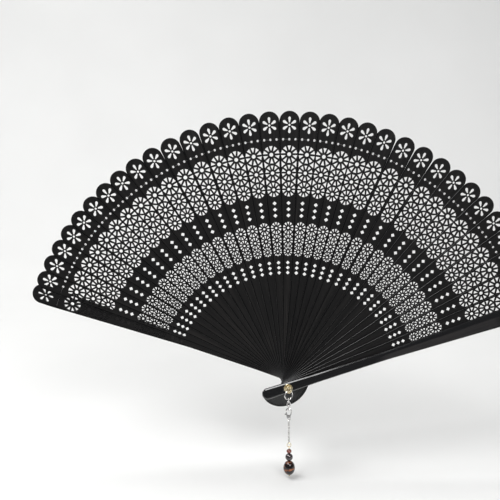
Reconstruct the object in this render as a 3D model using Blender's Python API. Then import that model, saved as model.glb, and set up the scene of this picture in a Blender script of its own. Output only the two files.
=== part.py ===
"""Folding fan of pierced wooden blades on one rivet, with a bead charm on a chain.

Metres, +Z up. The origin is on the rivet's axis, in the middle of the stack of blades. The rivet
runs along Y, the open fan spreads in the XZ plane, and the front faces -Y. Each blade lies in its
own layer, so the fan closes without two blades meeting.
"""
import math

import bmesh
import bpy
from mathutils import Matrix, Vector

# Blades and guards. Radii are distances from the rivet.
BLADES = 34
TIP_RADIUS = 0.2125
TAIL_RADIUS = 0.0210
TIP_WIDTH = 0.0152
WAIST_WIDTH = 0.0070
TAIL_WIDTH = 0.0088
WAIST_FROM = 0.0230
WAIST_TO = 0.0800
FULL_WIDTH_FROM = 0.1960
BLADE_THICKNESS = 0.00055
GUARD_THICKNESS = 0.0024
LAYER_GAP = 0.00025
THREAD_HOLES_FROM = 0.1916  # three small holes in a row, for the thread that limits the spread
THREAD_HOLE_STEP = 0.0048
THREAD_HOLE_RADIUS = 0.0009
FIRST_BLADE_DEG = 21.08  # above +X
FRONT_GUARD_GAP_DEG = 3.82  # from the front guard to the first blade
REAR_GUARD_LEAD_DEG = 0.15  # the rear guard is this much further open than the last blade
# The spread isn't quite even: for each group of neighbouring blades, the number of gaps and their
# angle in degrees, from the front.
SPREAD = (
    (5, 4.30), (3, 4.16), (3, 4.42), (4, 4.08), (5, 4.26),
    (3, 4.40), (2, 4.27), (3, 4.10), (4, 3.925), (1, 3.31),
)

# Rivet.
CLEARANCE = 0.0003  # between pieces that touch in the real fan
PIN_RADIUS = 0.0012
WASHER_RADIUS = 0.0034
WASHER_THICKNESS = 0.0006
HEAD_RADIUS = 0.0030
HEAD_HEIGHT = 0.0012

# Charm. A wire's loop is measured to the middle of the wire, a link's inner length to its inside.
WIRE_GAP = 0.0002  # between linked wires
TURN_DEG = 24.0  # the eye and the jump ring each turn this far from the fan's plane
EYE_RADIUS = 0.0022
EYE_WIRE = 0.0006
EYE_STANDOFF = 0.0030
RING_RADIUS = 0.0034
RING_WIRE = 0.00042
UPPER_LINKS = 3
UPPER_INNER = 0.0031
UPPER_WIDTH = 0.0032
UPPER_WIRE = 0.0004
LOWER_LENGTHS = 3  # the fine chain is three short lengths, each a plain rod of its outer shape
LOWER_LENGTH = 0.0066
LOWER_RADIUS = 0.00115
PENDANT_RADIUS = 0.0016
PENDANT_WIRE = 0.0003

# Clasp, measured from the middle of the wire at the top of its jaw.
CLASP_WIRE = 0.00055
CLASP_EYE_MIDDLE = -0.0088
CLASP_EYE_RADIUS = 0.00105
CLASP_EYE_WIRE = 0.00035
CLASP_PIVOT = (-0.0009, -0.0064)
HOUSING_THICKNESS = 0.0019
SLOT_WIDTH = 0.0011
LEVER_THICKNESS = 0.0005
LEVER_Y = -0.0002
SPRING_Y = 0.0003
CLASP_PIN_RADIUS = 0.00022
CLASP_PIN_HOLE = 0.0003

# Beads: radius and height.
BEAD_BORE = 0.0006
SMALL_BEAD = (0.0020, 0.0034)
ROUND_BEAD = (0.0030, 0.0058)
OVAL_BEAD = (0.0046, 0.0118)
PIN_EYE_RADIUS = 0.0010

ROUND_STEPS = 16
SMALL_HOLE_STEPS = 6
TIP_STEPS = 8
TAIL_STEPS = 6


def material(name, color, roughness, metallic=0.0):
    """Return the Principled material of this name."""
    made = bpy.data.materials.get(name) or bpy.data.materials.new(name)
    made.use_nodes = True
    shader = made.node_tree.nodes["Principled BSDF"]
    shader.inputs["Base Color"].default_value = (*color, 1.0)
    shader.inputs["Roughness"].default_value = roughness
    shader.inputs["Metallic"].default_value = metallic
    return made


def blade_wood():
    return material("blade_wood", (0.014, 0.013, 0.013), 0.5)


def guard_wood():
    return material("guard_wood", (0.009, 0.008, 0.008), 0.2)


def gold():
    return material("gold_metal", (0.83, 0.64, 0.30), 0.25, 1.0)


def silver():
    return material("silver_metal", (0.80, 0.79, 0.77), 0.25, 1.0)


def place(name, mesh, finish, location=(0, 0, 0)):
    """Link a mesh as the object of this name."""
    if not mesh.materials:
        mesh.materials.append(finish)
    made = bpy.data.objects.new(name, mesh)
    made.location = location
    bpy.context.scene.collection.objects.link(made)
    return made


def combine(base, operation, name, mesh, location=(0, 0, 0)):
    """Join or cut an object with a hidden guide."""
    guide = place(name, mesh, base.data.materials[0], location)
    guide.hide_render = True
    guide.display_type = "WIRE"
    modifier = base.modifiers.new(name, "BOOLEAN")
    modifier.operation = operation
    modifier.object = guide


def finished_mesh(bm, name):
    """Turn a bmesh into a mesh with its faces out, smooth except at sharp edges."""
    bmesh.ops.recalc_face_normals(bm, faces=bm.faces)
    mesh = bpy.data.meshes.new(name)
    bm.to_mesh(mesh)
    bm.free()
    mesh.shade_smooth()
    mesh.set_sharp_from_angle(angle=math.radians(35))
    return mesh


def arc(centre, radius, start, end, steps):
    """Points from start to end, in degrees, about a centre in the plane."""
    angles = [math.radians(start + (end - start) * i / steps) for i in range(steps + 1)]
    return [(centre[0] + radius * math.cos(a), centre[1] + radius * math.sin(a)) for a in angles]


def circle(radius, middle, steps=ROUND_STEPS, turn=0.0):
    """A circle of points that faces -Y, turned about the vertical by some degrees."""
    turned = Matrix.Rotation(math.radians(turn), 3, "Z")
    flat = arc((0, 0), radius, 0, 360, steps)[:-1]
    return [turned @ Vector((x, 0, z)) + Vector(middle) for x, z in flat]


def round_hole(radius, centre=(0, 0), steps=ROUND_STEPS):
    return arc(centre, radius, 0, 360, steps)[:-1]


def plate_mesh(name, outline, holes, thickness):
    """A flat plate in the XZ plane with holes through it."""
    bm = bmesh.new()
    edges = []
    for loop in [outline] + holes:
        ring = [bm.verts.new((x, -thickness / 2, z)) for x, z in loop]
        edges += [bm.edges.new((ring[i - 1], ring[i])) for i in range(len(ring))]
    bmesh.ops.triangle_fill(bm, use_beauty=True, edges=edges)
    extruded = bmesh.ops.extrude_face_region(bm, geom=bm.faces[:])["geom"]
    moved = [v for v in extruded if isinstance(v, bmesh.types.BMVert)]
    bmesh.ops.translate(bm, verts=moved, vec=(0, thickness, 0))
    return finished_mesh(bm, name)


def turned_mesh(name, profile, axis, steps=ROUND_STEPS):
    """Spin a profile of (radius, height) points, closed or from axis to axis, about Y or Z."""
    bm = bmesh.new()
    along = Vector((0, 1, 0)) if axis == "Y" else Vector((0, 0, 1))
    verts = [bm.verts.new(Vector((radius, 0, 0)) + along * height) for radius, height in profile]
    first = 1 if profile[0][0] == 0 else 0
    edges = [bm.edges.new((verts[i - 1], verts[i])) for i in range(first, len(verts))]
    bmesh.ops.spin(
        bm, geom=verts + edges, axis=along, cent=(0, 0, 0), dvec=(0, 0, 0),
        angle=math.tau, steps=steps, use_merge=True, use_duplicate=False,
    )
    bmesh.ops.remove_doubles(bm, verts=bm.verts, dist=1e-6)
    return finished_mesh(bm, name)


def tube_profile(inner, outer, low, high):
    return [(inner, low), (outer, low), (outer, high), (inner, high)]


def wire_mesh(name, loops, radius, closed=True, thickness=None):
    """Round wire along each loop of points; thickness gives each point's share of the radius."""
    curve = bpy.data.curves.new(name, "CURVE")
    curve.dimensions = "3D"
    curve.bevel_depth = radius
    curve.bevel_resolution = 1
    curve.use_fill_caps = not closed
    for points in loops:
        spline = curve.splines.new("POLY")
        spline.points.add(len(points) - 1)
        for index, point in enumerate(points):
            spline.points[index].co = (*point, 1.0)
            spline.points[index].radius = thickness[index] if thickness else 1.0
        spline.use_cyclic_u = closed
    guide = bpy.data.objects.new(name, curve)
    mesh = bpy.data.meshes.new_from_object(guide)
    bpy.data.objects.remove(guide)
    bm = bmesh.new()
    bm.from_mesh(mesh)
    bmesh.ops.remove_doubles(bm, verts=bm.verts, dist=1e-6)
    return finished_mesh(bm, name)


def blade_outline():
    """Outline of a blade that stands along +Z: (across, along) points, counter-clockwise."""
    tip = TIP_WIDTH / 2
    waist = WAIST_WIDTH / 2
    tail = TAIL_WIDTH / 2
    right = [(waist, WAIST_FROM), (waist, WAIST_TO), (tip, FULL_WIDTH_FROM)]
    left = [(-across, along) for across, along in reversed(right)]
    bottom = arc((0, tail - TAIL_RADIUS), tail, 180, 360, TAIL_STEPS)
    top = arc((0, TIP_RADIUS - tip), tip, 0, 180, TIP_STEPS)
    return bottom + right + top + left


def layer_y(index):
    """Middle of a blade's layer, counted from the frontmost blade."""
    return (index - (BLADES - 1) / 2) * (BLADE_THICKNESS + LAYER_GAP)


def blade_angles():
    """Each blade's angle above +X in degrees, from the front blade to the rear one."""
    angles = [FIRST_BLADE_DEG]
    for number, gap in SPREAD:
        for _ in range(number):
            angles.append(angles[-1] + gap)
    return angles


def place_stick(name, mesh, finish, y, angle):
    """Place a blade or guard, modelled along +Z, at an angle above +X about the rivet."""
    stick = place(name, mesh, finish, (0, y, 0))
    stick.rotation_euler = (0, math.radians(90 - angle), 0)


def build_blades():
    holes = [round_hole(PIN_RADIUS + CLEARANCE)]
    for across in (-THREAD_HOLE_STEP, 0, THREAD_HOLE_STEP):
        spot = (across, THREAD_HOLES_FROM)
        holes.append(round_hole(THREAD_HOLE_RADIUS, spot, SMALL_HOLE_STEPS))
    shared = plate_mesh("blade", blade_outline(), holes, BLADE_THICKNESS)
    for index, angle in enumerate(blade_angles()):
        place_stick(f"blade_{index + 1:02d}", shared, blade_wood(), layer_y(index), angle)


def build_guards():
    """The two thick sticks: one gap before the first blade, and just past the last one."""
    holes = [round_hole(PIN_RADIUS + CLEARANCE)]
    shared = plate_mesh("guard", blade_outline(), holes, GUARD_THICKNESS)
    angles = blade_angles()
    y = stack_half() - GUARD_THICKNESS / 2
    place_stick("front_guard", shared, guard_wood(), -y, angles[0] - FRONT_GUARD_GAP_DEG)
    place_stick("rear_guard", shared, guard_wood(), y, angles[-1] + REAR_GUARD_LEAD_DEG)


def stack_half():
    """From the middle of the stack to a guard's outer face."""
    return layer_y(BLADES - 1) + BLADE_THICKNESS / 2 + LAYER_GAP + GUARD_THICKNESS


def build_rivet():
    """Pin with its rear head, and a washer against each guard; return the pin's front end in Y."""
    face = stack_half() + CLEARANCE
    end = face + WASHER_THICKNESS
    head = end + CLEARANCE
    dome = [math.radians(angle) for angle in (0, 30, 60)]
    profile = [(0, -end), (PIN_RADIUS, -end), (PIN_RADIUS, head)]
    profile += [(HEAD_RADIUS * math.cos(a), head + HEAD_HEIGHT * math.sin(a)) for a in dome]
    profile += [(0, head + HEAD_HEIGHT)]
    place("rivet_pin", turned_mesh("rivet_pin", profile, "Y"), gold())
    for name, low in (("rear_washer", face), ("front_washer", -end)):
        ring = tube_profile(PIN_RADIUS + CLEARANCE, WASHER_RADIUS, low, low + WASHER_THICKNESS)
        place(name, turned_mesh(name, ring, "Y"), gold())
    return -end


def build_eye(pin_end):
    """An eye bent from one wire, with its shank on the pin's end; return its middle in Y."""
    back = pin_end - CLEARANCE
    y = back - EYE_STANDOFF
    shank = [(0, back, 0), (0, back - 0.0006, 0), (0, back - 0.0009, 0.0007)]
    shank += [(0, back - 0.0014, 0.0018), (0, y + 0.0009, EYE_RADIUS)]
    loop = circle(EYE_RADIUS, (0, y, 0), 20, -TURN_DEG)
    quarter = len(loop) // 4
    from_top = loop[quarter:] + loop[:quarter - 1]
    place("rivet_eye", wire_mesh("rivet_eye", [shank + from_top], EYE_WIRE, closed=False), gold())
    return y


def link_loop(inner_length, width, wire_radius, middle, edge_on):
    """The centre line of one oval chain link that hangs along Z."""
    half_turn = width / 2 - wire_radius
    straight = inner_length / 2 + wire_radius - half_turn
    outline = arc((0, straight), half_turn, 0, 180, 5) + arc((0, -straight), half_turn, 180, 360, 5)
    if edge_on:
        return [Vector((0, across, along)) + Vector(middle) for across, along in outline]
    return [Vector((across, 0, along)) + Vector(middle) for across, along in outline]


def build_upper_chain(y, hangs_from):
    """Oval links, the first inside a wire whose top is given; return the last bottom wire's Z."""
    reach = UPPER_INNER + 2 * UPPER_WIRE
    top = hangs_from + UPPER_WIRE + WIRE_GAP
    for index in range(UPPER_LINKS):
        name = f"upper_link_{index + 1}"
        middle = (0, y, top - reach / 2)
        loop = link_loop(UPPER_INNER, UPPER_WIDTH, UPPER_WIRE, middle, index % 2 == 0)
        place(name, wire_mesh(name, [loop], UPPER_WIRE), silver())
        bottom = top - reach
        top = bottom + 2 * UPPER_WIRE + WIRE_GAP
    return bottom


def build_lower_chain(y, top, eye_room, ring_room):
    """Round-ended rods, end to end; return the Z of the chain's end.

    The first and last stop short of the clasp's eye and of the pendant's ring.
    """
    for index in range(LOWER_LENGTHS):
        name = f"lower_chain_{index + 1}"
        high = top - (eye_room if index == 0 else CLEARANCE / 2)
        top -= LOWER_LENGTH
        low = top + (ring_room if index == LOWER_LENGTHS - 1 else CLEARANCE / 2)
        bottom_end = arc((0, low + LOWER_RADIUS), LOWER_RADIUS, -90, 0, 3)
        top_end = arc((0, high - LOWER_RADIUS), LOWER_RADIUS, 0, 90, 3)
        profile = [(max(radius, 0), z) for radius, z in bottom_end + top_end]
        profile[0] = (0, low)
        profile[-1] = (0, high)
        place(name, turned_mesh(name, profile, "Z", 10), silver(), (0, y, 0))
    return top


def build_jump_ring(y):
    """Ring that hangs in the rivet's eye; return the Z of its lowest wire's middle."""
    top = EYE_WIRE - EYE_RADIUS + RING_WIRE + WIRE_GAP
    loop = circle(RING_RADIUS, (0, y, top - RING_RADIUS), 20, TURN_DEG)
    place("jump_ring", wire_mesh("jump_ring", [loop], RING_WIRE), silver())
    return top - 2 * RING_RADIUS


def hook_wire(y, top):
    """The clasp's jaw and lower eye, bent from one wire that thins towards the eye."""
    jaw = [
        (-0.00190, -0.0024), (-0.00195, -0.0015), (-0.00140, -0.0005), (-0.0003, 0.0),
        (0.0009, -0.00025), (0.0018, -0.0013), (0.0021, -0.0028), (0.0019, -0.0044),
        (0.0013, -0.0058), (0.0008, -0.0067), (0.0003, -0.0073),
    ]
    points = [Vector((x, y, top + z)) for x, z in jaw]
    loop = circle(CLASP_EYE_RADIUS, (0, y, top + CLASP_EYE_MIDDLE), 12)
    thin = CLASP_EYE_WIRE / CLASP_WIRE
    shares = [1.0] * (len(jaw) - 2) + [0.85, 0.7] + [thin] * (len(loop) - 1)
    return wire_mesh("clasp_hook", [points + loop[3:] + loop[:2]], CLASP_WIRE, False, shares)


def housing_outline():
    """Round about the lever's pivot, and wide enough to meet the hook's wire."""
    around_pivot = arc((0, 0), 0.0009, 90, 270, 6)
    at_wire = arc((0.0018, -0.0003), 0.0007, -90, 90, 6)
    return at_wire + around_pivot


def lever_outline():
    """The lever about its pivot: a barrel, an arm up to the nose of the jaw, and a thumb tab."""
    barrel = arc((0, 0), 0.00065, 180, 380, 8)
    inside = [(0.0001, 0.0010), (-0.0004, 0.0022), (-0.0006, 0.0034)]
    outside = [(-0.0013, 0.0034), (-0.00135, 0.0024)]
    tab = [(-0.0021, 0.0022), (-0.0024, 0.0018), (-0.0021, 0.0014), (-0.0011, 0.0012)]
    return barrel + inside + outside + tab


def build_clasp(y, hangs_from):
    """Lobster clasp with its jaw up; return the Z of its lower eye's lowest wire."""
    top = hangs_from + CLASP_WIRE + WIRE_GAP
    pivot = Vector((CLASP_PIVOT[0], y, top + CLASP_PIVOT[1]))
    pin_hole = [round_hole(CLASP_PIN_HOLE)]
    housing = plate_mesh("housing", housing_outline(), pin_hole, HOUSING_THICKNESS)
    body = place("clasp_body", housing, silver(), pivot)
    slot = turned_mesh(
        "clasp_slot", tube_profile(0, 0.0011, -SLOT_WIDTH / 2, SLOT_WIDTH / 2), "Y", 12
    )
    combine(body, "DIFFERENCE", "clasp_slot", slot, pivot)
    combine(body, "UNION", "clasp_hook", hook_wire(y, top))

    lever = plate_mesh("clasp_lever", lever_outline(), pin_hole, LEVER_THICKNESS)
    place("clasp_lever", lever, silver(), pivot + Vector((0, LEVER_Y, 0)))
    pin = tube_profile(0, CLASP_PIN_RADIUS, -HOUSING_THICKNESS / 2, HOUSING_THICKNESS / 2)
    place("clasp_pin", turned_mesh("clasp_pin", pin, "Y", 8), silver(), pivot)
    coil = tube_profile(CLASP_PIN_HOLE, 0.0006, -0.00015, 0.00015)
    spring = turned_mesh("clasp_spring", coil, "Y", 10)
    place("clasp_spring", spring, silver(), pivot + Vector((0, SPRING_Y, 0)))
    return top + CLASP_EYE_MIDDLE - CLASP_EYE_RADIUS


def bead_mesh(name, radius, height):
    """An oval bead with its bore along Z."""
    limit = math.acos(BEAD_BORE / radius)
    angles = [limit * (i / 4 - 1) for i in range(9)]
    scale = height / 2 / math.sin(limit)
    profile = [(radius * math.cos(a), scale * math.sin(a)) for a in angles]
    return turned_mesh(name, profile, "Z")


def build_pendant(y, hangs_from):
    """End ring, and an eye pin that carries three beads."""
    ring_middle = hangs_from + PENDANT_WIRE + WIRE_GAP - PENDANT_RADIUS
    ring = circle(PENDANT_RADIUS, (0, y, ring_middle))
    place("pendant_ring", wire_mesh("pendant_ring", [ring], PENDANT_WIRE), gold())

    eye_top = ring_middle - PENDANT_RADIUS + 2 * PENDANT_WIRE + WIRE_GAP
    eye_middle = eye_top - PIN_EYE_RADIUS
    beads = (
        ("bead_small", SMALL_BEAD, material("bead_red", (0.32, 0.09, 0.06), 0.3)),
        ("bead_round", ROUND_BEAD, material("bead_hematite", (0.05, 0.05, 0.055), 0.08, 0.6)),
        ("bead_oval", OVAL_BEAD, material("bead_agate", (0.05, 0.018, 0.01), 0.06)),
    )
    top = eye_middle - PIN_EYE_RADIUS - PENDANT_WIRE - CLEARANCE
    for name, (radius, height), finish in beads:
        place(name, bead_mesh(name, radius, height), finish, (0, y, top - height / 2))
        top -= height + CLEARANCE

    eye = [Vector((0, y + across, eye_middle + along))
           for across, along in arc((0, 0), PIN_EYE_RADIUS, -60, 250, 10)]
    shaft = [(0, y, eye_middle - PIN_EYE_RADIUS - 0.0003), (0, y, top)]
    head = [(0, y, top - 0.0002), (0, y, top - 0.0006), (0, y, top - 0.0009)]
    shares = [1.0] * (len(eye) + len(shaft)) + [2.2, 2.2, 1.4]
    pin = wire_mesh("eye_pin", [eye + shaft + head], PENDANT_WIRE, False, shares)
    place("eye_pin", pin, gold())


def build_charm(y):
    """Everything that hangs from the rivet's eye."""
    ring_bottom = build_jump_ring(y)
    link_bottom = build_upper_chain(y, ring_bottom + RING_WIRE)
    eye_bottom = build_clasp(y, link_bottom + UPPER_WIRE)
    eye_room = 2 * CLASP_EYE_WIRE + WIRE_GAP / 2 + CLEARANCE
    ring_room = 2 * PENDANT_WIRE + WIRE_GAP / 2 + CLEARANCE
    chain_top = eye_bottom + CLASP_EYE_WIRE + WIRE_GAP / 2
    chain_end = build_lower_chain(y, chain_top, eye_room, ring_room)
    build_pendant(y, chain_end - WIRE_GAP / 2)


for old in list(bpy.data.objects):
    bpy.data.objects.remove(old)
build_blades()
build_guards()
build_charm(build_eye(build_rivet()))
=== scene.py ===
"""Looks of the folding fan: pierced wooden blades, lacquered guards, and the charm on its chain.

Blades and guards are drawn in millimetres, (across, along) with the rivet at the origin and the tip
up, and then placed where the CAD nodes are.
"""
import math

import bmesh
import bpy
from mathutils import Matrix, Vector


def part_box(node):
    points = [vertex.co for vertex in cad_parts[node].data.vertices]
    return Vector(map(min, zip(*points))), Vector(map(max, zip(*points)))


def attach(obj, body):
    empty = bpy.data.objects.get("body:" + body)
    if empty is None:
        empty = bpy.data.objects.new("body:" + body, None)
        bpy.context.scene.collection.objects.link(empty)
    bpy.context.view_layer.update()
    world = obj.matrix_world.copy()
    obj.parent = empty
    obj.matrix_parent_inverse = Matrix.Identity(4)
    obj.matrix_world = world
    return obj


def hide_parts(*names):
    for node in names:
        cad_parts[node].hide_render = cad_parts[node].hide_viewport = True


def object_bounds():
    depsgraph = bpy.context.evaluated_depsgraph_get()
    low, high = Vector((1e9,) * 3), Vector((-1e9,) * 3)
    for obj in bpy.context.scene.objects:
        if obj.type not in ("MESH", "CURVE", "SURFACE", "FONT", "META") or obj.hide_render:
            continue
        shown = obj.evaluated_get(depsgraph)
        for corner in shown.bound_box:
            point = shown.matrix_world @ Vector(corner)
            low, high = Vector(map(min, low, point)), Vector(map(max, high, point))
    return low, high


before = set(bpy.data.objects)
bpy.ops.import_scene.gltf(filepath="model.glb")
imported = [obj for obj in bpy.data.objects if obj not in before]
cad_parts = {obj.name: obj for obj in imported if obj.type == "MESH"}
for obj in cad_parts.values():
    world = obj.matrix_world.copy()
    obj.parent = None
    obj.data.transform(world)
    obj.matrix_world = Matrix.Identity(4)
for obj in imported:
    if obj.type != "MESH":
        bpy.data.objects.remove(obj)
cad_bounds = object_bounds()
MM = 0.001

# Outline of every stick, as in the CAD.
TIP_ALONG = 212.5
TAIL_ALONG = -21.0
TIP_HALF = 7.6
WAIST_HALF = 3.5
TAIL_HALF = 4.4
WAIST_FROM = 23.0
WAIST_TO = 80.0
FULL_FROM = 196.0
BLADE_THICKNESS = 0.55
GUARD_THICKNESS = 2.4
BEVEL_DEPTH = 0.62
BEVEL_WIDTH = 0.70
CROWN_DEPTH = 0.22
CROWN_WIDTH = 3.4
HALF_PITCH = math.radians(4.288 / 2)
PIN_HOLE = 1.5

# Fretwork: each daisy's middle, half width, half length, hub hole, the share of its size where its
# petals begin, the strut between two petals, and the wood round them. Diamonds are (middle, reach).
OUTER_DAISIES = (
    (180.2, 6.15, 6.60, 1.45, 0.46, 1.42, 1.30),
    (166.3, 5.38, 5.82, 1.30, 0.47, 1.32, 1.30),
    (153.6, 4.88, 5.50, 1.15, 0.47, 1.20, 1.25),
)
INNER_DAISIES = (
    (123.9, 3.97, 4.70, 0.86, 0.46, 1.06, 0.95),
    (114.2, 3.55, 4.35, 0.80, 0.47, 0.98, 0.90),
    (105.5, 3.15, 3.70, 0.74, 0.48, 0.88, 0.90),
)
PETALS = 10
PETAL_REACH = 0.975  # share of the daisy's half size at the middle of a petal's straight end
PETAL_CORNER = 0.05  # how far a petal's two outer corners are rounded back
FLOWER_PETALS = 6
FLOWER_EYE = 0.85
FLOWER_NARROWER = 0.95
FLOWER_LONGER = 1.05
FLOWER_ALONG = 202.1
THREAD_ALONG = 191.4
THREAD_HOLES = (-4.65, 0.0, 4.65)
THREAD_HOLE_RADIUS = 0.85
THREAD_RADIUS = 0.13
DIAMONDS = ((143.1, 1.50), (138.3, 1.50), (133.5, 1.50), (96.6, 1.42), (92.6, 1.42), (88.6, 1.42))
OUTER_EDGE_WOOD = 0.85  # wood between a spandrel and the line halfway to the next blade
INNER_EDGE_WOOD = 1.05
RIM_CHAMFER = 0.14
HOLE_CHAMFER = 0.07

# Heights of the fine chain's two ends, in metres.
LOWER_CHAIN_TOP = -0.02471
LOWER_CHAIN_END = -0.04451
LINKS_EACH_LENGTH = 5


# ---------------------------------------------------------------- materials

def new_material(name):
    made = bpy.data.materials.new(name)
    made.use_nodes = True
    return made, made.node_tree, made.node_tree.nodes["Principled BSDF"]


def set_values(shader, **values):
    for name, value in values.items():
        shader.inputs[name.replace("_", " ")].default_value = value


def stretched_noise(tree, scale, detail=4.0, roughness=0.6, own=False):
    """Noise in the piece's own coordinates, in cycles a metre along each axis; own differs by piece."""
    where = tree.nodes.new("ShaderNodeTexCoord")
    mapping = tree.nodes.new("ShaderNodeMapping")
    mapping.inputs["Scale"].default_value = scale
    noise = tree.nodes.new("ShaderNodeTexNoise")
    noise.inputs["Scale"].default_value = 1.0
    noise.inputs["Detail"].default_value = detail
    noise.inputs["Roughness"].default_value = roughness
    tree.links.new(where.outputs["Object"], mapping.inputs["Vector"])
    tree.links.new(mapping.outputs["Vector"], noise.inputs["Vector"])
    if own:
        piece = tree.nodes.new("ShaderNodeObjectInfo")
        noise.noise_dimensions = "4D"
        tree.links.new(math_node(tree, "MULTIPLY", piece.outputs["Random"], 37.0), noise.inputs["W"])
    return noise.outputs["Fac"]


def ramp(tree, value, stops):
    made = tree.nodes.new("ShaderNodeValToRGB")
    elements = made.color_ramp.elements
    while len(elements) < len(stops):
        elements.new(0.5)
    for element, (position, color) in zip(elements, stops):
        element.position = position
        element.color = (*color, 1.0)
    tree.links.new(value, made.inputs["Fac"])
    return made.outputs["Color"]


def spread(tree, value, low, high, from_low=0.3, from_high=0.7):
    made = tree.nodes.new("ShaderNodeMapRange")
    made.inputs["From Min"].default_value = from_low
    made.inputs["From Max"].default_value = from_high
    made.inputs["To Min"].default_value = low
    made.inputs["To Max"].default_value = high
    tree.links.new(value, made.inputs["Value"])
    return made.outputs["Result"]


def bump(tree, shader, height, strength, distance):
    made = tree.nodes.new("ShaderNodeBump")
    made.inputs["Strength"].default_value = strength
    made.inputs["Distance"].default_value = distance
    tree.links.new(height, made.inputs["Height"])
    tree.links.new(made.outputs["Normal"], shader.inputs["Normal"])


def math_node(tree, operation, *values):
    """A maths node whose inputs are numbers or sockets."""
    made = tree.nodes.new("ShaderNodeMath")
    made.operation = operation
    for place, value in zip(made.inputs, values):
        if isinstance(value, (int, float)):
            place.default_value = value
        else:
            tree.links.new(value, place)
    return made.outputs["Value"]


def across_along(tree):
    """A stick's own two coordinates, and half its width there."""
    where = tree.nodes.new("ShaderNodeTexCoord")
    axes = tree.nodes.new("ShaderNodeSeparateXYZ")
    tree.links.new(where.outputs["Object"], axes.inputs["Vector"])
    along = axes.outputs["Z"]
    half = spread(tree, along, WAIST_HALF * MM, TIP_HALF * MM, WAIST_TO * MM, FULL_FROM * MM)
    return axes.outputs["X"], along, half


def stained_wood():
    """Black-stained wood with long faint grain, with painted shade darkening it along the long edges where
    the blades overlap.
    """
    made, tree, shader = new_material("stained_wood")
    broad = stretched_noise(tree, (420, 420, 9), 3.0, own=True)
    fine = stretched_noise(tree, (2600, 2600, 45), 5.0, 0.7, own=True)
    mixed = tree.nodes.new("ShaderNodeMix")
    mixed.inputs["Factor"].default_value = 0.5
    tree.links.new(broad, mixed.inputs["A"])
    tree.links.new(fine, mixed.inputs["B"])
    grain = mixed.outputs["Result"]
    across, _, half_width = across_along(tree)
    inside = math_node(tree, "SUBTRACT", half_width, math_node(tree, "ABSOLUTE", across))
    # Painted shade: the colour darkens within a millimetre of each long edge, standing in for the shadow
    # between overlapping blades.
    grain = math_node(tree, "MULTIPLY", grain, spread(tree, inside, 0.25, 1.0, 0.00015, 0.0010))
    color = ramp(tree, grain, (
        (0.24, (0.0016, 0.0016, 0.0018)), (0.38, (0.0050, 0.0048, 0.0050)),
        (0.52, (0.0110, 0.0104, 0.0102)), (0.68, (0.0250, 0.0225, 0.0210)),
    ))
    tree.links.new(color, shader.inputs["Base Color"])
    tree.links.new(spread(tree, fine, 0.34, 0.50), shader.inputs["Roughness"])
    # The shine fades in the same edge band as part of the painted shade; the chamfer itself is kept shiny.
    face_shine = spread(tree, inside, 0.0, 0.28, 0.00015, 0.0010)
    edge_shine = spread(tree, inside, 0.85, 0.0, 0.00010, 0.00018)
    shine = math_node(tree, "ADD", face_shine, edge_shine)
    tree.links.new(shine, shader.inputs["Specular IOR Level"])
    bump(tree, shader, fine, 0.25, 0.00004)
    return made


def lacquer():
    """Black lacquer over wood, polished at the grip, with a satin band farther out whose lighter colour is a
    painted reflection.
    """
    made, tree, shader = new_material("black_lacquer")
    grain = stretched_noise(tree, (900, 900, 16), 4.0)
    wear = stretched_noise(tree, (120, 120, 60), 5.0)
    across, along, half_width = across_along(tree)
    share = math_node(tree, "DIVIDE", across, half_width)
    # A band from 70 to 178 mm out: rougher and with less coat as a satin finish, and lighter in colour as a
    # painted reflection.
    satin_and_reflection_band = spread(tree, along, 0.0, 1.0, 0.070, 0.082)
    satin_and_reflection_band = math_node(tree, "MULTIPLY", satin_and_reflection_band, spread(tree, along, 1.0, 0.0, 0.168, 0.178))
    satin_and_reflection_band = math_node(tree, "MULTIPLY", satin_and_reflection_band, spread(tree, share, 0.0, 1.0, -0.45, -0.15))
    satin_and_reflection_band = math_node(tree, "MULTIPLY", satin_and_reflection_band, spread(tree, share, 1.0, 0.0, 0.70, 0.88))
    # Painted reflection: the colour is lifted inside the band and darkened outside it.
    tone = math_node(tree, "MULTIPLY", grain, spread(tree, satin_and_reflection_band, 0.55, 1.5, 0.0, 1.0))
    color = ramp(tree, tone, (
        (0.20, (0.0018, 0.0018, 0.0020)), (0.42, (0.0060, 0.0056, 0.0060)), (0.80, (0.0240, 0.0215, 0.0215)),
    ))
    tree.links.new(color, shader.inputs["Base Color"])
    polish = spread(tree, wear, 0.10, 0.20)
    tree.links.new(math_node(tree, "ADD", polish, spread(tree, satin_and_reflection_band, 0.0, 0.30, 0.0, 1.0)),
                   shader.inputs["Roughness"])
    tree.links.new(spread(tree, satin_and_reflection_band, 0.5, 0.0, 0.0, 1.0), shader.inputs["Coat Weight"])
    set_values(shader, Coat_Roughness=0.08)
    bump(tree, shader, grain, 0.08, 0.00005)
    return made


def worn_metal(name, light, dark, low, high):
    """Plated wire: a little darker and rougher in patches."""
    made, tree, shader = new_material(name)
    patches = stretched_noise(tree, (700, 700, 700), 4.0)
    fine = stretched_noise(tree, (5200, 5200, 5200), 3.0)
    tree.links.new(ramp(tree, patches, ((0.35, dark), (0.6, light))), shader.inputs["Base Color"])
    tree.links.new(spread(tree, patches, high, low), shader.inputs["Roughness"])
    set_values(shader, Metallic=1.0)
    bump(tree, shader, fine, 0.10, 0.00002)
    return made


def thread_material():
    """Grey tying thread, a little lighter than the wood."""
    made, tree, shader = new_material("grey_thread")
    fibres = stretched_noise(tree, (3000, 6000, 9000), 4.0)
    color = ramp(tree, fibres, ((0.35, (0.060, 0.058, 0.058)), (0.65, (0.160, 0.155, 0.150))))
    tree.links.new(color, shader.inputs["Base Color"])
    set_values(shader, Roughness=0.8, Sheen_Weight=0.3)
    bump(tree, shader, fibres, 0.5, 0.00005)
    return made


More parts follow.
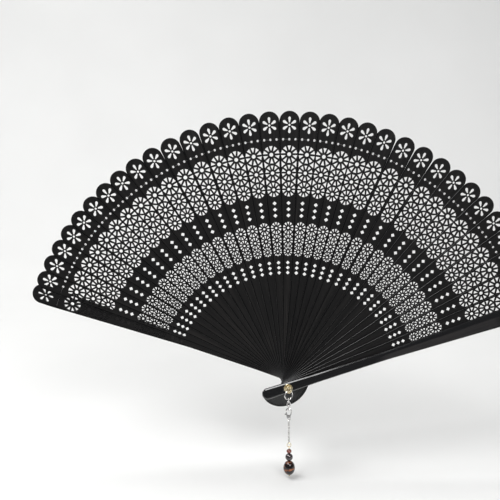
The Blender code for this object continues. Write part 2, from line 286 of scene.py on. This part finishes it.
def red_stone():
    """Small reddish bead."""
    made, tree, shader = new_material("red_stone")
    clouds = stretched_noise(tree, (420, 420, 700), 5.0)
    color = ramp(tree, clouds, (
        (0.32, (0.070, 0.016, 0.012)), (0.55, (0.24, 0.065, 0.045)), (0.72, (0.42, 0.17, 0.12)),
    ))
    tree.links.new(color, shader.inputs["Base Color"])
    tree.links.new(spread(tree, clouds, 0.12, 0.24), shader.inputs["Roughness"])
    set_values(shader, Coat_Weight=0.5, Coat_Roughness=0.05)
    return made


def hematite():
    """Polished grey-black stone with a metallic shine."""
    made, tree, shader = new_material("hematite")
    clouds = stretched_noise(tree, (500, 500, 900), 4.0)
    color = ramp(tree, clouds, ((0.3, (0.045, 0.042, 0.045)), (0.7, (0.14, 0.12, 0.12))))
    tree.links.new(color, shader.inputs["Base Color"])
    tree.links.new(spread(tree, clouds, 0.05, 0.13), shader.inputs["Roughness"])
    set_values(shader, Metallic=0.75, Coat_Weight=0.6, Coat_Roughness=0.03)
    return made


def agate():
    """Black stone with brown and orange bands."""
    made, tree, shader = new_material("agate")
    bands = stretched_noise(tree, (90, 90, 430), 6.0, 0.65)
    color = ramp(tree, bands, (
        (0.40, (0.004, 0.003, 0.003)), (0.51, (0.014, 0.005, 0.004)),
        (0.57, (0.20, 0.055, 0.018)), (0.63, (0.46, 0.17, 0.06)), (0.69, (0.03, 0.010, 0.007)),
    ))
    tree.links.new(color, shader.inputs["Base Color"])
    tree.links.new(spread(tree, bands, 0.05, 0.12), shader.inputs["Roughness"])
    set_values(shader, Specular_IOR_Level=0.35, Coat_Weight=0.5, Coat_Roughness=0.03)
    return made


def pale(name, low, high, roughness):
    made, tree, shader = new_material(name)
    mottle = stretched_noise(tree, (2.0, 2.0, 2.0), 3.0)
    tree.links.new(ramp(tree, mottle, ((0.3, low), (0.7, high))), shader.inputs["Base Color"])
    set_values(shader, Roughness=roughness)
    return made


WOOD = stained_wood()
LACQUER = lacquer()
GOLD = worn_metal("gold_plate", (0.95, 0.85, 0.60), (0.78, 0.64, 0.38), 0.16, 0.32)
SILVER = worn_metal("silver_plate", (0.90, 0.89, 0.87), (0.56, 0.55, 0.54), 0.14, 0.32)
THREAD = thread_material()
RED = red_stone()
HEMATITE = hematite()
AGATE = agate()


# ---------------------------------------------------------------- placing

def finished_mesh(bm, name, sharp=35.0):
    bmesh.ops.recalc_face_normals(bm, faces=bm.faces)
    mesh = bpy.data.meshes.new(name)
    bm.to_mesh(mesh)
    bm.free()
    mesh.shade_smooth()
    mesh.set_sharp_from_angle(angle=math.radians(sharp))
    return mesh


def add(name, mesh, finish, body, stands_for=(), where=None):
    """Link a piece, give it its material and let it ride on a body."""
    if not mesh.materials:
        mesh.materials.append(finish)
    piece = bpy.data.objects.new(name, mesh)
    bpy.context.scene.collection.objects.link(piece)
    if where is not None:
        piece.matrix_world = where
    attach(piece, body)
    if stands_for:
        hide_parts(*stands_for)
    return piece


def stick_place(node):
    """Where a stick drawn along +Z goes to lie on a CAD stick, whose farthest corner is its tip."""
    low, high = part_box(node)
    tip = max((v.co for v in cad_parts[node].data.vertices), key=lambda co: co.x ** 2 + co.z ** 2)
    turn = Matrix.Rotation(math.atan2(tip.x, tip.z), 4, "Y")
    return Matrix.Translation((0, (low.y + high.y) / 2, 0)) @ turn


# ---------------------------------------------------------------- drawing in the plane

def arc(centre, radius, start, end, steps):
    angles = [math.radians(start + (end - start) * i / steps) for i in range(steps + 1)]
    return [(centre[0] + radius * math.cos(a), centre[1] + radius * math.sin(a)) for a in angles]


def round_hole(across, along, radius, steps=16):
    return arc((across, along), radius, 0, 360, steps)[:-1]


def outline():
    bottom = arc((0, TAIL_ALONG + TAIL_HALF), TAIL_HALF, 180, 360, 18)
    right = [(WAIST_HALF, WAIST_FROM), (WAIST_HALF, WAIST_TO), (TIP_HALF, FULL_FROM)]
    top = arc((0, TIP_ALONG - TIP_HALF), TIP_HALF, 0, 180, 36)
    left = [(-across, along) for across, along in reversed(right)]
    return bottom + right + top + left


def daisy_petal(daisy, turn):
    """One wedge between two struts, cut straight across its outer end."""
    middle, half_width, half_length, _, begins, strut, _ = daisy
    share = strut / (half_width + half_length)
    half_step = math.pi / PETALS

    def at(radius, side, fall=0.0):
        angle = turn + side * (half_step - math.asin(min(share / radius, 0.9)))
        reach = radius - fall
        return (half_width * reach * math.sin(angle), middle + half_length * reach * math.cos(angle))

    outer = [at(PETAL_REACH / math.cos(side * half_step), side, PETAL_CORNER * side ** 12)
             for side in (-1, -0.93, -0.8, -0.3, 0.3, 0.8, 0.93, 1)]
    inner = [at(begins, side, -0.05 * side ** 2) for side in (0.95, 0.35, -0.35, -0.95)]
    return outer + inner


def daisy_holes(daisy):
    petals = [daisy_petal(daisy, math.tau * i / PETALS) for i in range(PETALS)]
    return petals + [round_hole(0, daisy[0], daisy[3])]


def flower_holes():
    """Six drop-shaped petals round a small eye."""
    begins, ends = 1.75, 5.95
    halves = ((0, 0.34), (0.22, 0.56), (0.45, 0.84), (0.66, 1.04), (0.82, 0.97), (0.93, 0.64))
    side = [(half, begins + (ends - begins) * share) for share, half in halves]
    drop = side + [(0, ends)] + [(-half, along) for half, along in reversed(side)]
    holes = [round_hole(0, FLOWER_ALONG, FLOWER_EYE, 14)]
    for i in range(FLOWER_PETALS):
        c, s = math.cos(math.tau * i / FLOWER_PETALS), math.sin(math.tau * i / FLOWER_PETALS)
        holes.append([((x * c + z * s) * FLOWER_NARROWER, FLOWER_ALONG + (z * c - x * s) * FLOWER_LONGER)
                      for x, z in drop])
    return holes


def spandrels(upper, lower, edge_wood):
    """The two three-cornered holes beside the place where two daisies meet."""
    def rim(daisy, along):
        wood = daisy[6]
        offset = (along - daisy[0]) / (daisy[2] + wood)
        return (daisy[1] + wood) * math.sqrt(max(0.0, 1 - offset * offset))

    inside, outside = [], []
    steps = 90
    for i in range(steps + 1):
        along = lower[0] + (upper[0] - lower[0]) * i / steps
        near = max(rim(upper, along), rim(lower, along))
        far = along * math.tan(HALF_PITCH) - edge_wood
        if near < far - 0.12:
            inside.append((near, along))
            outside.append((far, along))
    tip = min(range(len(inside)), key=lambda i: inside[i][0])
    kept = sorted({0, tip // 3, tip * 2 // 3, tip, (tip * 2 + len(inside)) // 3,
                   (tip + len(inside) * 2) // 3, len(inside) - 1})
    right = [inside[i] for i in kept] + [outside[-1], outside[len(outside) // 2], outside[0]]
    return [right, [(-x, z) for x, z in right]]


def diamond(along, reach):
    """A square stood on its corner, the corners a little rounded."""
    near = reach * 0.10
    far = reach - near * 0.35
    quarters = ((1, 0), (0, 1), (-1, 0), (0, -1))
    return [(far * c - near * side * s, along + far * s + near * side * c)
            for c, s in quarters for side in (-1, 1)]


def blade_holes():
    holes = [round_hole(0, 0, PIN_HOLE, 20)] + flower_holes()
    holes += [round_hole(across, THREAD_ALONG, THREAD_HOLE_RADIUS, 14) for across in THREAD_HOLES]
    holes += [diamond(along, reach) for along, reach in DIAMONDS]
    for row, edge_wood in ((OUTER_DAISIES, OUTER_EDGE_WOOD), (INNER_DAISIES, INNER_EDGE_WOOD)):
        for daisy in row:
            holes += daisy_holes(daisy)
        for upper, lower in zip(row, row[1:]):
            holes += spandrels(upper, lower, edge_wood)
    return holes


def moved(loop, distance):
    """The loop with each corner moved outwards from what it encloses."""
    area = sum(a[0] * b[1] - b[0] * a[1] for a, b in zip(loop, loop[1:] + loop[:1]))
    sign = distance if area > 0 else -distance
    result = []
    for i, (x, z) in enumerate(loop):
        before, after = loop[i - 1], loop[(i + 1) % len(loop)]
        into = Vector((x - before[0], z - before[1])).normalized()
        out = Vector((after[0] - x, after[1] - z)).normalized()
        normal = Vector((into.y + out.y, -into.x - out.x))
        length = max(normal.length, 0.6)
        result.append((x + sign * normal.x * 2 / length ** 2, z + sign * normal.y * 2 / length ** 2))
    return result


def pierced_plate(name, rim, holes, thickness):
    """A flat plate with holes right through and a small chamfer along every edge."""
    bm = bmesh.new()
    half = thickness / 2
    loops = [(rim, moved(rim, -RIM_CHAMFER), RIM_CHAMFER)]
    loops += [(hole, moved(hole, HOLE_CHAMFER), HOLE_CHAMFER) for hole in holes]
    levels = []
    for true, face, chamfer in loops:
        levels.append([
            [bm.verts.new(Vector((x, y, z)) * MM) for x, z in shape]
            for shape, y in ((face, -half), (true, chamfer - half), (true, half - chamfer), (face, half))
        ])
    for level in (0, 3):
        edges = []
        for rings in levels:
            ring = rings[level]
            edges += [bm.edges.new((ring[i - 1], ring[i])) for i in range(len(ring))]
        bmesh.ops.triangle_fill(bm, use_beauty=True, edges=edges)
    for rings in levels:
        for lower, upper in zip(rings, rings[1:]):
            for i in range(len(lower)):
                bm.faces.new((lower[i - 1], lower[i], upper[i], upper[i - 1]))
    return finished_mesh(bm, name, 30)


# ---------------------------------------------------------------- sticks

def build_blades():
    shared = pierced_plate("blade", outline(), blade_holes(), BLADE_THICKNESS)
    for node in sorted(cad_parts):
        if node.startswith("blade_"):
            add(f"fret_{node}", shared.copy(), WOOD, node, (node,), stick_place(node))


def stick_half(along):
    """Half the width of a stick at this distance from the rivet."""
    tail_middle = TAIL_ALONG + TAIL_HALF
    tip_middle = TIP_ALONG - TIP_HALF
    if along < tail_middle:
        return math.sqrt(max(0, TAIL_HALF ** 2 - (along - tail_middle) ** 2))
    if along > tip_middle:
        return math.sqrt(max(0, TIP_HALF ** 2 - (along - tip_middle) ** 2))
    corners = ((tail_middle, TAIL_HALF), (WAIST_FROM, WAIST_HALF), (WAIST_TO, WAIST_HALF),
               (FULL_FROM, TIP_HALF), (tip_middle + 1, TIP_HALF))
    for (z0, w0), (z1, w1) in zip(corners, corners[1:]):
        if along <= z1:
            return w0 + (w1 - w0) * (along - z0) / (z1 - z0)
    return TIP_HALF


def guard_drop(across, along):
    """How far the guard's outer face lies below its highest line."""
    half = stick_half(along)
    tail_middle = TAIL_ALONG + TAIL_HALF
    tip_middle = TIP_ALONG - TIP_HALF
    inside = half - abs(across)
    if along < tail_middle:
        inside = TAIL_HALF - math.hypot(across, along - tail_middle)
    if along > tip_middle:
        inside = TIP_HALF - math.hypot(across, along - tip_middle)
    inside = max(0.0, inside)
    bevel = BEVEL_DEPTH * max(0.0, 1 - inside / BEVEL_WIDTH)
    crown = CROWN_DEPTH * (1 - min(inside, CROWN_WIDTH) / CROWN_WIDTH) ** 2
    return bevel + crown


def guard_mesh(outward):
    """A crowned stick with its flower and one daisy cut through; outward is the sign of its face's Y."""
    stations = [TAIL_ALONG + TAIL_HALF * (1 - math.cos(math.radians(a))) for a in range(6, 90, 7)]
    stations += [TAIL_ALONG + TAIL_HALF + 3 * i for i in range(int((WAIST_TO - TAIL_ALONG) // 3))]
    stations += [along for along in range(int(stations[-1]) + 3, int(TIP_ALONG - TIP_HALF), 3)]
    stations += [TIP_ALONG - TIP_HALF * (1 - math.sin(math.radians(a))) for a in range(0, 88, 6)]
    near_edge = (0, 0.08, 0.35, 0.62, 0.70, 0.85, 1.15, 1.7, 2.4)
    bm = bmesh.new()
    rows = []
    for along in stations:
        half = stick_half(along)
        insets = [inset * min(1.0, half / 3.0) for inset in near_edge]
        places = [inset - half for inset in insets] + [0] + [half - inset for inset in reversed(insets)]
        face = []
        for across in places:
            level = GUARD_THICKNESS / 2 - guard_drop(across, along)
            face.append(bm.verts.new(Vector((across, outward * level, along)) * MM))
        back = [bm.verts.new(Vector((half * side, outward * level, along)) * MM)
                for side, level in ((1, -1.1), (0.985, -1.2), (-0.985, -1.2), (-1, -1.1))]
        rows.append(face + back)
    for lower, upper in zip(rows, rows[1:]):
        for i in range(len(lower)):
            bm.faces.new((lower[i - 1], lower[i], upper[i], upper[i - 1]))
    bm.faces.new(rows[0])
    bm.faces.new(list(reversed(rows[-1])))
    return finished_mesh(bm, "guard", 30)


def prisms(name, loops, depth):
    """Closed prisms along Y through the plane of the sticks."""
    bm = bmesh.new()
    for loop in loops:
        front = [bm.verts.new(Vector((x, -depth, z)) * MM) for x, z in loop]
        back = [bm.verts.new(Vector((x, depth, z)) * MM) for x, z in loop]
        bm.faces.new(front)
        bm.faces.new(list(reversed(back)))
        for i in range(len(loop)):
            bm.faces.new((front[i - 1], back[i - 1], back[i], front[i]))
    return finished_mesh(bm, name)


def cut(mesh, loops):
    """The mesh with prisms cut out of it."""
    target = bpy.data.objects.new("target", mesh)
    cutter = bpy.data.objects.new("cutter", prisms("cutter", loops, 5))
    for made in (target, cutter):
        bpy.context.scene.collection.objects.link(made)
    modifier = target.modifiers.new("cut", "BOOLEAN")
    modifier.operation = "DIFFERENCE"
    modifier.solver = "EXACT"
    modifier.object = cutter
    ready = target.evaluated_get(bpy.context.evaluated_depsgraph_get())
    result = bpy.data.meshes.new_from_object(ready)
    for made in (target, cutter):
        bpy.data.objects.remove(made)
    return result


def build_guards():
    holes = flower_holes() + daisy_holes(OUTER_DAISIES[0]) + [round_hole(0, 0, PIN_HOLE, 20)]
    for node, outward in (("front_guard", -1), ("rear_guard", 1)):
        mesh = cut(guard_mesh(outward), holes)
        mesh.shade_smooth()
        mesh.set_sharp_from_angle(angle=math.radians(30))
        add(f"lacquer_{node}", mesh, LACQUER, node, (node,), stick_place(node))


# ---------------------------------------------------------------- wires and turned pieces

def wire_mesh(name, points, radius, closed=True, shares=None, sides=3):
    """Round wire, in metres, along a smooth line through the points."""
    curve = bpy.data.curves.new(name, "CURVE")
    curve.dimensions = "3D"
    curve.bevel_depth = radius
    curve.bevel_resolution = sides
    curve.use_fill_caps = not closed
    spline = curve.splines.new("POLY")
    spline.points.add(len(points) - 1)
    for index, point in enumerate(points):
        spline.points[index].co = (*point, 1.0)
        spline.points[index].radius = shares[index] if shares else 1.0
    spline.use_cyclic_u = closed
    guide = bpy.data.objects.new(name, curve)
    mesh = bpy.data.meshes.new_from_object(guide)
    bpy.data.objects.remove(guide)
    bm = bmesh.new()
    bm.from_mesh(mesh)
    bmesh.ops.remove_doubles(bm, verts=bm.verts, dist=1e-7)
    return finished_mesh(bm, name, 40)


def joined(name, meshes):
    """Several meshes, in metres, as one."""
    bm = bmesh.new()
    for mesh in meshes:
        bm.from_mesh(mesh)
    return finished_mesh(bm, name, 40)


def turned_mesh(name, profile, axis, steps=40):
    bm = bmesh.new()
    along = Vector((0, 1, 0)) if axis == "Y" else Vector((0, 0, 1))
    verts = [bm.verts.new(Vector((radius, 0, 0)) + along * height) for radius, height in profile]
    first = 1 if profile[0][0] == 0 else 0
    edges = [bm.edges.new((verts[i - 1], verts[i])) for i in range(first, len(verts))]
    bmesh.ops.spin(
        bm, geom=verts + edges, axis=along, cent=(0, 0, 0), dvec=(0, 0, 0),
        angle=math.tau, steps=steps, use_merge=True, use_duplicate=False,
    )
    bmesh.ops.remove_doubles(bm, verts=bm.verts, dist=1e-7)
    return finished_mesh(bm, name, 40)


def smooth_path(points, steps=6):
    """A Catmull-Rom line through open points."""
    points = [Vector(p) for p in points]
    ends = [2 * points[0] - points[1]] + points + [2 * points[-1] - points[-2]]
    line = []
    for a, b, c, d in zip(ends, ends[1:], ends[2:], ends[3:]):
        for i in range(steps):
            t = i / steps
            line.append(0.5 * (2 * b + (c - a) * t + (2 * a - 5 * b + 4 * c - d) * t * t
                               + (3 * b - a - 3 * c + d) * t ** 3))
    return line + [points[-1]]


def build_threads():
    """A thin thread that runs through each blade: over the front, under the back, over again."""
    half = BLADE_THICKNESS / 2
    step = 0.35
    side = THREAD_HOLES[-1]
    reach = 7.0
    stops = [(-reach, half), (-side - step, half), (-side + step, -half), (-step, -half), (step, half),
             (side - step, half), (side + step, -half), (reach, -half)]
    line = smooth_path([(x * MM, y * MM, THREAD_ALONG * MM) for x, y in stops], 5)
    shared = wire_mesh("thread", line, THREAD_RADIUS * MM, closed=False, sides=2)
    for node in sorted(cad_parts):
        if node.startswith("blade_"):
            add(f"thread_{node[6:]}", shared, THREAD, node, (), stick_place(node))


def ring_line(radius, middle, turn, steps=48, gap=0.0):
    """A circle round the Y axis turned about the vertical, left open at the side by a gap in degrees."""
    turned = Matrix.Rotation(math.radians(turn), 3, "Z")
    angles = [math.radians(gap / 2 + (360 - gap) * i / steps) for i in range(steps + (gap > 0))]
    return [turned @ Vector((radius * math.cos(a), 0, radius * math.sin(a))) + Vector(middle)
            for a in angles]


def node_middle(node):
    low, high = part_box(node)
    return (low + high) / 2


def build_rivet():
    """Pin with a domed rear head, and a rounded washer against each guard."""
    pin_low, pin_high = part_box("rivet_pin")
    pin_radius, head_radius, head_height = 0.0012, 0.0030, 0.0012
    dome = [math.radians(a) for a in (0, 12, 25, 38, 52, 66, 80)]
    head = pin_high.y - head_height
    profile = [(0, pin_low.y), (pin_radius - 0.0001, pin_low.y), (pin_radius, pin_low.y + 0.0001),
               (pin_radius, head)]
    profile += [(head_radius * math.cos(a), head + head_height * math.sin(a)) for a in dome]
    profile += [(0, pin_high.y)]
    add("rivet", turned_mesh("rivet", profile, "Y"), GOLD, "rivet", ("rivet_pin",))
    for name in ("front_washer", "rear_washer"):
        low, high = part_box(name)
        radius, bore, edge = high.x, pin_radius + 0.0003, 0.00018
        profile = [(bore, low.y), (radius - edge, low.y), (radius, low.y + edge),
                   (radius, high.y - edge), (radius - edge, high.y), (bore, high.y)]
        mesh = turned_mesh(name, profile, "Y")
        add(f"round_{name}", mesh, GOLD, "rivet", (name,))


def build_eye():
    """The eye that is bent from one wire with its shank."""
    radius, wire, turn = 0.0022, 0.0006, -24.0
    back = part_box("rivet_eye")[1].y
    y = back - 0.0030
    shank = [(0, back, 0), (0, back - 0.0006, 0), (0, back - 0.0010, 0.0006),
             (0, back - 0.0016, 0.0017), (0, y + 0.0009, radius)]
    loop = ring_line(radius, (0, y, 0), turn, 40)
    from_top = loop[10:] + loop[:8]
    line = smooth_path(shank + [from_top[0]], 4)[:-1] + from_top
    mesh = wire_mesh("rivet_eye", line, wire, closed=False, sides=4)
    add("bent_eye", mesh, GOLD, "rivet", ("rivet_eye",))
    return y


def build_jump_ring(y):
    low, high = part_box("jump_ring")
    wire, radius = 0.00042, 0.0034
    line = ring_line(radius, (0, y, (low.z + high.z) / 2), 24.0, 64, gap=2.5)
    mesh = wire_mesh("jump_ring", line, wire, closed=False, sides=4)
    add("open_ring", mesh, SILVER, "jump_ring", ("jump_ring",))


def link_line(inner, width, wire, middle, edge_on):
    """The centre line of an oval link that hangs along Z."""
    half_turn = width / 2 - wire
    straight = inner / 2 + wire - half_turn
    shape = arc((0, straight), half_turn, 0, 180, 14) + arc((0, -straight), half_turn, 180, 360, 14)
    if edge_on:
        return [Vector((0, across, along)) + Vector(middle) for across, along in shape]
    return [Vector((across, 0, along)) + Vector(middle) for across, along in shape]


def build_upper_chain():
    inner, width, wire = 0.0031, 0.0032, 0.0004
    for index in range(3):
        node = f"upper_link_{index + 1}"
        line = link_line(inner, width, wire, node_middle(node), index % 2 == 0)
        mesh = wire_mesh(node, line, wire, sides=4)
        add(f"oval_link_{index + 1}", mesh, SILVER, "upper_chain", (node,))


def build_lower_chain(y, top, end):
    """Fine links, some on each length of the CAD chain, each a quarter turn from the next."""
    lengths = 3
    pitch = (top - end) / (lengths * LINKS_EACH_LENGTH)
    wire, width = 0.00027, 0.0021
    turn = Matrix.Rotation(math.radians(38), 3, "Z")
    for length in range(lengths):
        meshes = []
        for index in range(LINKS_EACH_LENGTH):
            count = length * LINKS_EACH_LENGTH + index
            line = link_line(pitch, width, wire, (0, 0, 0), count % 2 == 1)
            middle = Vector((0, y, top - pitch * (count + 0.5)))
            line = [turn @ point + middle for point in line]
            meshes.append(wire_mesh("link", line, wire, sides=3))
        node = f"lower_chain_{length + 1}"
        add(f"links_{length + 1}", joined(node, meshes), SILVER, node, (node,))


# ---------------------------------------------------------------- clasp, beads

def bead_profile(radius, height, bore):
    """Half the outline of a bead, cut off flat at both ends of its bore."""
    limit = math.acos(bore / radius)
    scale = height / 2 / math.sin(limit)
    steps = 24
    angles = [limit * (2 * i / steps - 1) for i in range(steps + 1)]
    return [(radius * math.cos(a), scale * math.sin(a)) for a in angles]


def build_beads():
    for name, finish, slot in (("bead_small", RED, "bead_red"), ("bead_round", HEMATITE, "bead_hematite"),
                               ("bead_oval", AGATE, "bead_agate")):
        low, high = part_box(name)
        profile = bead_profile(high.x, high.z - low.z, 0.0006)
        mesh = turned_mesh(name, profile, "Z", 48)
        add(f"stone_{name[5:]}", mesh, finish, "pendant", (name,),
            Matrix.Translation((low + high) / 2))


def keep_cad(finish, *nodes):
    """Give CAD nodes whose shape is right a better material."""
    for node in nodes:
        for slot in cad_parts[node].material_slots:
            slot.link = "OBJECT"
            slot.material = finish


build_blades()
build_guards()
build_threads()
build_rivet()
charm_y = build_eye()
build_jump_ring(charm_y)
build_upper_chain()
build_lower_chain(charm_y, LOWER_CHAIN_TOP, LOWER_CHAIN_END)
build_beads()
keep_cad(SILVER, "clasp_body", "clasp_lever", "clasp_pin", "clasp_spring")
keep_cad(GOLD, "pendant_ring", "eye_pin")


# ---------------------------------------------------------------- stage, light, camera

def build_stage():
    """A pale floor that curves up into a pale wall; its front part isn't mirrored in the lacquer."""
    floor = cad_bounds[0][2] - 0.002
    front, middle, bend, wall, top = -1.6, -0.13, 0.55, 1.0, 2.2
    curve = [(bend + (wall - bend) * math.sin(math.radians(a)),
              floor + (wall - bend) * (1 - math.cos(math.radians(a)))) for a in range(0, 91, 6)]
    paper = pale("pale_paper", (0.68, 0.68, 0.67), (0.74, 0.74, 0.73), 0.9)
    for name, profile in (("stage", [(middle, floor)] + curve + [(wall, top)]),
                          ("stage_front", [(front, floor), (middle, floor)])):
        bm = bmesh.new()
        rows = [[bm.verts.new((side, y, z)) for side in (-2.6, 2.6)] for y, z in profile]
        for lower, upper in zip(rows, rows[1:]):
            bm.faces.new((lower[0], lower[1], upper[1], upper[0]))
        mesh = finished_mesh(bm, name, 60)
        mesh.materials.append(paper)
        sweep = bpy.data.objects.new(name, mesh)
        sweep.visible_glossy = name == "stage"
        sweep.visible_diffuse = name == "stage"
        bpy.context.scene.collection.objects.link(sweep)


def area_light(name, place, target, size, power, color=(1, 1, 1)):
    light = bpy.data.lights.new(name, "AREA")
    light.shape = "RECTANGLE"
    light.size, light.size_y = size
    light.energy = power
    light.color = color
    lamp = bpy.data.objects.new(name, light)
    lamp.location = place
    lamp.rotation_euler = (Vector(target) - Vector(place)).to_track_quat("-Z", "Y").to_euler()
    bpy.context.scene.collection.objects.link(lamp)


def build_light():
    bpy.context.scene.view_settings.view_transform = "Standard"
    world = bpy.data.worlds.new("studio")
    world.use_nodes = True
    bpy.context.scene.world = world
    background = world.node_tree.nodes["Background"]
    background.inputs["Color"].default_value = (0.93, 0.95, 1.0, 1.0)
    background.inputs["Strength"].default_value = 0.20
    area_light("top", (-0.70, -0.25, 1.25), (0, 0, 0.1), (1.4, 0.5), 20)
    area_light("front", (0.5, -1.5, 1.2), (0, 0, 0.1), (0.8, 0.8), 16)
    area_light("wall", (0.2, 0.25, 1.9), (0.2, 0.9, 0.2), (2.4, 0.6), 12)


def build_camera():
    """The photograph's view: a little above the fan and to its left."""
    rise, swing, distance = math.radians(11.27), math.radians(-2.04), 0.6172
    target = Vector((-0.02729, 0, 0.10711))
    back = Vector((math.sin(swing) * math.cos(rise), -math.cos(swing) * math.cos(rise), math.sin(rise)))
    right = Vector((math.cos(swing), math.sin(swing), 0))
    up = back.cross(right)
    axes = Matrix((right, up, back)).transposed().to_4x4()
    tilt = Matrix.Rotation(math.radians(-0.976), 4, "Z")
    camera_data = bpy.data.cameras.new("camera")
    camera_data.sensor_width = 36.0
    camera_data.lens = 57.6
    camera_data.clip_start = 0.01
    camera = bpy.data.objects.new("camera", camera_data)
    camera.matrix_world = Matrix.Translation(target + back * distance) @ axes @ tilt
    bpy.context.scene.collection.objects.link(camera)
    bpy.context.scene.camera = camera


build_stage()
build_light()
build_camera()
